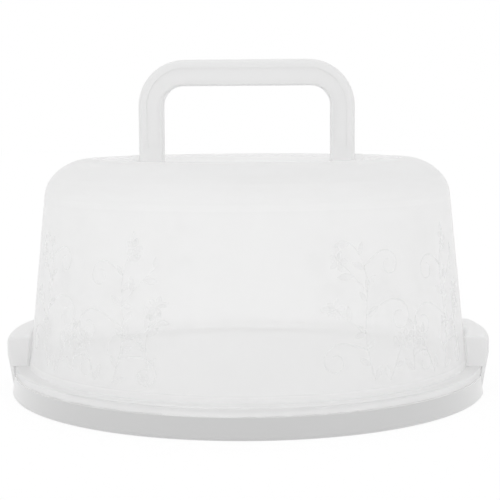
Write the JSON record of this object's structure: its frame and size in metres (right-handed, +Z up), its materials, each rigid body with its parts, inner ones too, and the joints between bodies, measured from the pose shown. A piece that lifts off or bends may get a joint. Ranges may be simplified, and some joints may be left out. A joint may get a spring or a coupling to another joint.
{
  "type": "cake carrier",
  "caption": "Round cake carrier: ribbed tray, translucent lift-off dome lid with folding bow handle, two hinged side latches.",
  "frame": {"origin": "centre of the tray's underside, on the surface that it stands on", "axes": "+Z up along the axis of the round tray; +X through the middle of latch_right; the handle stands over the X axis"},
  "size_m": [0.2914, 0.2866, 0.1984],
  "materials": {
    "tray_pp": "satin, opaque off-white",
    "lid_pp": "satin, milky translucent, with an embossed vine on the clearer wall",
    "handle_pp": "satin, milky white",
    "latch_pp": "satin, milky white"
  },
  "bodies": {
    "tray": {"base_tray": "tray_pp"},
    "lid": {"lid": "lid_pp"},
    "handle": {"handle": "handle_pp"},
    "latch_left": {"latch_left": "latch_pp"},
    "latch_right": {"latch_right": "latch_pp"}
  },
  "joints": [
    {"name": "lid_lift", "type": "slide", "parent": "tray", "child": "lid", "axis": [0, 0, 1], "range_m": [0, 0.17]},
    {"name": "handle_fold", "type": "hinge", "parent": "lid", "child": "handle", "pos_m": [0, 0, 0.1372], "axis": [1, 0, 0], "range_deg": [-90, 90]},
    {"name": "latch_right_open", "type": "hinge", "parent": "tray", "child": "latch_right", "pos_m": [0.1374, 0, 0.0065], "axis": [0, 1, 0], "range_deg": [0, 75]},
    {"name": "latch_left_open", "type": "hinge", "parent": "tray", "child": "latch_left", "pos_m": [-0.1374, 0, 0.0065], "axis": [0, -1, 0], "range_deg": [0, 75]}
  ]
}
